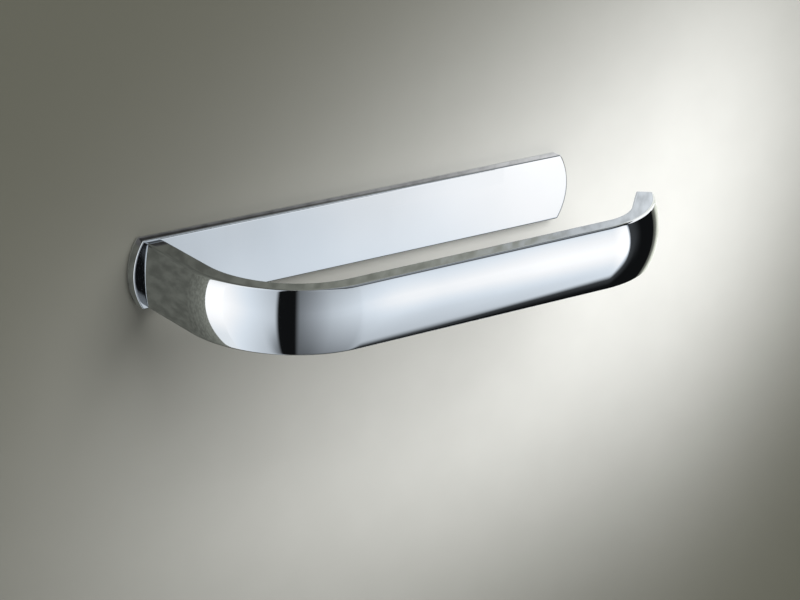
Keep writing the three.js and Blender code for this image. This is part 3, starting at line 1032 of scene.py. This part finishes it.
# Glowing card by the tip: a painted reflection in the plate, over the tip's own image there
tip_card_tones = [(50, 1.155), (93, 1.25)]
tip_card_span = (36 * mm, 93 * mm)
tip_card_rise = (-11.5 * mm, 6 * mm)
tip_card_left_fade = (36 * mm, 50 * mm)
tip_card_top_fade = (1 * mm, 6 * mm)
tip_card_stand_off = -44 * mm


def tip_card_glow():
    """Glow of the small card, a painted reflection in the plate over the tip's image: a little lighter to
    the right, and see-through at its left and upper edges.
    """
    material, wire, place = new_finish("tip_card_glow")
    x, y, z = place.parts()
    tone = tone_at(x / mm, tip_card_tones)
    cover = x.between(*tip_card_left_fade) * (1.0 - z.between(*tip_card_top_fade))
    close_glow(wire, tone, cool_cast, cover)
    return material


tip_card_corners = upright_rectangle(*tip_card_span, *tip_card_rise, tip_card_stand_off)
only_in_mirrors(stage_sheet("tip_card", tip_card_corners, [(0, 1, 2, 3)], tip_card_glow()))

# Dark veil before the plate: painted shade on the plate's reflection, more to the left
veil_cover = [(-48, 0.09), (-32, 0.155), (-20, 0.15), (-8, 0.11), (37, 0.08), (54, 0.03), (72, 0.0)]
veil_span = (-70 * mm, 72 * mm)
veil_rise = (-30 * mm, -4 * mm)
veil_stand_off = -40 * mm
veil_least = 0.45
veil_gain = 1.1


def painted_shade_veil():
    """Thin dark veil that paints shade on the plate's reflection: it takes a share of the light, more
    higher up, and none at its right end.
    """
    material, wire, place = new_finish("painted_shade_veil")
    x, y, z = place.parts()
    share = tone_at(x / mm, veil_cover) * (veil_least + z.between(*veil_rise) * veil_gain)
    clear = wire.node("ShaderNodeBsdfTransparent")
    dark = wire.node("ShaderNodeBsdfDiffuse", {}, {"Color": (0.0, 0.0, 0.0, 1.0)})
    surface = wire.node("ShaderNodeMixShader", {}, {0: share, 1: clear, 2: dark})
    wire.node("ShaderNodeOutputMaterial", {}, {"Surface": surface})
    return material


veil_corners = upright_rectangle(*veil_span, *veil_rise, veil_stand_off)
only_in_mirrors(stage_sheet("plate_painted_shade_veil", veil_corners, [(0, 1, 2, 3)], painted_shade_veil()))

# Dome: its glow paints the room's light and dark for mirrors
dome_radius = 0.4
dome_rows = 60
dome_columns = 96
dome_steepest = 82
dome_half_span = 92
dome_panels = [
    (-92, 1.40), (-72, 1.10), (-49, 0.71), (-46.5, 0.0), (-34.5, 0.0), (-31, 0.24), (-18, 0.465), (-6, 0.70),
    (6, 0.83), (20, 0.95), (26, 1.18), (34, 1.37), (41, 1.40), (48, 1.54), (53.7, 1.56), (55.9, 0.0),
]
panel_lean = 0.3
lean_from = (0, 12)
lean_until = (36, 44)
band_lift = [(21.9, 1.0), (23.6, 1.08), (24.6, 1.08), (27, 1.02), (30, 1.0)]
dome_shade = [(-60, 0.28), (-42, 0.515), (-26, 0.74), (-10, 0.975), (-4, 1.0), (17, 0.76)]
right_shade = [(-60, 0.30), (-42, 0.49), (-26, 0.665), (-10, 0.965), (-4, 1.0), (17, 0.71)]
left_shade_share = 0.45
right_from = (20, 32)
left_until = (-46, -20)
gap_shadow = 0.7
gap_shadow_left = (-60, -46)
gap_shadow_right = (-42, -38)
gap_shadow_rise = (-50, -10)
dome_low_edge = [(-44, -98), (-33, -82), (24, -72), (43, -49), (49, -34), (62, -8)]
dome_low_softness = 16
dome_high_edge = [(0, 70), (9, 26), (14, 23), (58, 23)]
dome_high_softness = 2.5
high_glimmer = 0.09
high_glimmer_until = (50, 58)
low_glimmer = 0.05
low_glimmer_top = 6
low_glimmer_from = (30, 37)
low_glimmer_until = (57, 70)
dome_least = 0.007
patch_turn = (60, 64)
patch_low_edge = [(60, 12), (70, 10), (80, 6), (90, 3)]
patch_low_softness = 4
patch_high_edge = [(60, 24), (72, 30), (90, 36)]
patch_high_softness = 3
patch_glow = 1.36
ceiling_tone = 0.30
ceiling_rise = (38, 44)
ceiling_turn = (15, 30)


def dome_glow():
    """Glow of the dome, the room's light painted for mirrors: a tone along its span, darker away from the
    horizon, more so to the right and less so to the left. It fades out at a low edge and stops at a high
    edge, which both change along the span, and has one white patch and a dim ceiling."""
    material, wire, place = new_finish("dome_glow")
    x, y, z = place.parts()
    turn = wire.maths("ARCTAN2", x, y * -1.0) * math.degrees(1)
    rise = wire.maths("ARCSINE", z / dome_radius) * math.degrees(1)
    side = wire.maths("ARCSINE", x / dome_radius) * math.degrees(1)
    shade = tone_at(rise, dome_shade)
    shade = shade + (tone_at(rise, right_shade) - shade) * turn.between(*right_from)
    share = left_shade_share + turn.between(*left_until) * (1 - left_shade_share)
    dimmed = turn.between(*gap_shadow_left) * (1.0 - turn.between(*gap_shadow_right))
    dimmed = dimmed * (1.0 - rise.between(*gap_shadow_rise))
    over = rise - angle_at(turn, dome_low_edge)
    under = angle_at(turn, dome_high_edge) - rise
    lean = turn.between(*lean_from) * (1.0 - turn.between(*lean_until)) * panel_lean
    glow = tone_at(turn - (turn - side) * lean, dome_panels) * (1.0 - (1.0 - shade) * share)
    glow = glow * (1.0 - dimmed * gap_shadow) * tone_at(side, band_lift)
    glow = glow * over.between(0, dome_low_softness)
    glimmer = over.between(-dome_low_softness, low_glimmer_top) * turn.between(*low_glimmer_from)
    glimmer = glimmer * (1.0 - turn.between(*low_glimmer_until))
    below = under.between(0, dome_high_softness)
    glow = wire.maths("MAXIMUM", glow, glimmer * low_glimmer) * below
    glow = glow + (1.0 - below) * (1.0 - turn.between(*high_glimmer_until)) * high_glimmer
    patch = (rise - angle_at(turn, patch_low_edge)).between(0, patch_low_softness)
    patch = patch * (angle_at(turn, patch_high_edge) - rise).between(0, patch_high_softness)
    patch = patch * turn.between(*patch_turn)
    ceiling = rise.between(*ceiling_rise) * turn.between(*ceiling_turn) * ceiling_tone
    tone = wire.maths("MAXIMUM", wire.maths("MAXIMUM", glow, ceiling), patch * patch_glow) + dome_least
    close_glow(wire, tone, cool_cast)
    return material


dome_turn = np.radians(np.linspace(-dome_half_span, dome_half_span, dome_columns))
dome_rise = np.radians(np.linspace(-dome_steepest, dome_steepest, dome_rows))[:, None]
dome_grid = dome_radius * np.stack([
    np.cos(dome_rise) * np.sin(dome_turn),
    -np.cos(dome_rise) * np.cos(dome_turn),
    np.sin(dome_rise) + 0 * dome_turn,
], axis=-1)
dome_index = np.arange(dome_rows * dome_columns).reshape(dome_rows, dome_columns)
dome_quads = np.stack([
    dome_index[:-1, :-1],
    dome_index[:-1, 1:],
    dome_index[1:, 1:],
    dome_index[1:, :-1],
], axis=-1)
only_in_mirrors(stage_sheet(
    "mirrored_room", dome_grid.reshape(-1, 3).tolist(), dome_quads.reshape(-1, 4).tolist(), dome_glow()
))

# Lamps: two soft square panels, one in the room and one behind the wall, that light the wall, the floor
# and the matt pieces. The chrome shows the dome in their place.
lamps = {
    "room_lamp": ((0.35, -1.7, 1.1), (0.0, 0.0, 0.0), 1.4, 40.0),
    "back_lamp": ((0.6, 1.4, 1.0), (0.0, 0.0, 0.0), 1.0, 22.0),
}
for name, (place, target, size, power) in lamps.items():
    panel = bpy.data.lights.new(name, "AREA")
    panel.shape = "SQUARE"
    panel.size = size
    panel.energy = power
    lamp = bpy.data.objects.new(name, panel)
    lamp.location = place
    lamp.rotation_euler = (Vector(target) - Vector(place)).to_track_quat("-Z", "Y").to_euler()
    lamp.visible_glossy = False
    bpy.context.scene.collection.objects.link(lamp)

# Room beyond the wall and the floor: pale where it is seen or mirrored.
# On everything else it is a dim even light.
room_colour = (0.86, 0.86, 0.85)
room_light = 0.25
world = bpy.data.worlds.new("room")
world.use_nodes = True
world.node_tree.nodes.clear()
room = Wire(world.node_tree)
ray = room.node("ShaderNodeLightPath").socket.node.outputs
seen = Wire(room.tree, ray["Is Camera Ray"]) + Wire(room.tree, ray["Is Glossy Ray"])
seen = room.maths("MINIMUM", seen + Wire(room.tree, ray["Is Transmission Ray"]), 1.0)
strength = room_light + seen * (1 - room_light)
background = room.node("ShaderNodeBackground", {}, {"Color": (*room_colour, 1.0), "Strength": strength})
room.node("ShaderNodeOutputWorld", {}, {"Surface": background})
bpy.context.scene.world = world

# Camera: a long lens to the left of the holder and above it, leaning a little, as in the photograph.
# Its place was fitted to the edges of the plate and of the arm.
camera_turn = math.radians(36.813)
camera_drop = math.radians(21.185)
camera_lean = math.radians(2.094)
camera_distance = 1.0076
aim_right = 15.8 * mm
aim_down = 25.6 * mm
focal_pixels = 2943
image_width = 800
sensor_width = 36
sight = Vector((
    math.sin(camera_turn) * math.cos(camera_drop),
    math.cos(camera_turn) * math.cos(camera_drop),
    -math.sin(camera_drop),
))
level = Vector((math.cos(camera_turn), -math.sin(camera_turn), 0))
upright = level.cross(sight)
right = level * math.cos(camera_lean) + upright * math.sin(camera_lean)
up = upright * math.cos(camera_lean) - level * math.sin(camera_lean)
stand = right * aim_right - up * aim_down - sight * camera_distance
lens = bpy.data.cameras.new("photograph_camera")
lens.sensor_width = sensor_width
lens.lens = focal_pixels * sensor_width / image_width
lens.clip_start = 0.05
lens.clip_end = 20
camera = bpy.data.objects.new("photograph_camera", lens)
camera.matrix_world = Matrix((
    (right.x, up.x, -sight.x, stand.x),
    (right.y, up.y, -sight.y, stand.y),
    (right.z, up.z, -sight.z, stand.z),
    (0, 0, 0, 1),
))
bpy.context.scene.collection.objects.link(camera)
bpy.context.scene.camera = camera
bpy.context.scene.view_settings.view_transform = "Standard"

# Last update of the scene, so that every piece stands where it was put.
bpy.context.view_layer.update()
